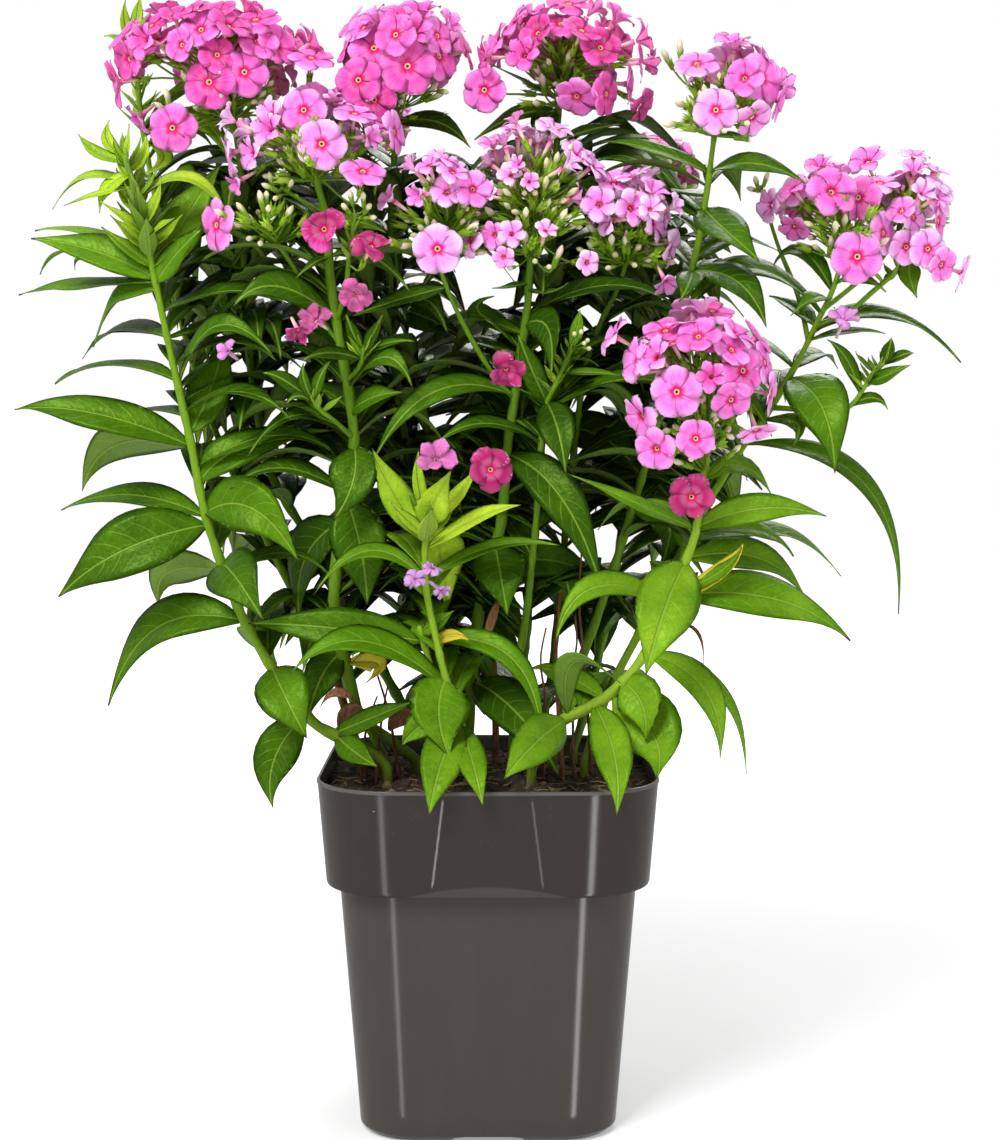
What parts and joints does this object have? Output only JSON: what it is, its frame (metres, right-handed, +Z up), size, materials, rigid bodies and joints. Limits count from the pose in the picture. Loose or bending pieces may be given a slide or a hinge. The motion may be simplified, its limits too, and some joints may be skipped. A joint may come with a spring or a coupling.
{
  "type": "potted phlox plant",
  "caption": "Bushy garden phlox in flower, pink heads over lance-shaped green leaves, in a dark square plastic nursery pot",
  "frame": {"origin": "centre of the pot's flat underside, on the surface it stands on", "axes": "+Z up along the pot's axis, -Y towards the viewer of the picture, +X to the viewer's right"},
  "size_m": [0.4913, 0.2762, 0.5776],
  "materials": {
    "pot": "semi-gloss moulded plastic",
    "soil": "moist peat-based potting soil",
    "dry_stalk": "dry, dull bark",
    "leaf": "living leaf and stem, soft sheen",
    "petal": "thin velvety petal"
  },
  "bodies": {
    "root": {"pot": "pot", "soil": "soil", "old_stalk_left": "dry_stalk", "old_stalk_middle": "dry_stalk", "old_stalk_right": "dry_stalk", "stem_left": "leaf", "stem_centre_left": "leaf", "stem_young_front": "leaf", "stem_short_front": "leaf", "stem_centre": "leaf", "stem_centre_right": "leaf", "stem_right_front": "leaf", "stem_right": "leaf", "stem_far_right": "leaf", "stem_back_left": "leaf", "stem_back_centre": "leaf", "stem_back_right": "leaf", "stem_outer_left": "leaf", "stem_middle_right": "leaf", "stem_rear_left": "leaf", "stem_rear_right": "leaf", "flowers_left_top": "petal", "flowers_centre_top": "petal", "flowers_left_middle": "petal", "flowers_side": "petal", "flowers_right_top": "petal", "flowers_centre_upper": "petal", "flowers_centre_side": "petal", "flowers_right_middle": "petal", "flowers_right_high": "petal", "flowers_far_right": "petal", "flowers_far_right_outer": "petal", "flowers_right_low": "petal", "flowers_rear_left": "petal", "flowers_rear_right": "petal", "flower_single_1": "petal", "flower_single_2": "petal", "flower_single_3": "petal", "flower_single_4": "petal"}
  },
  "joints": []
}
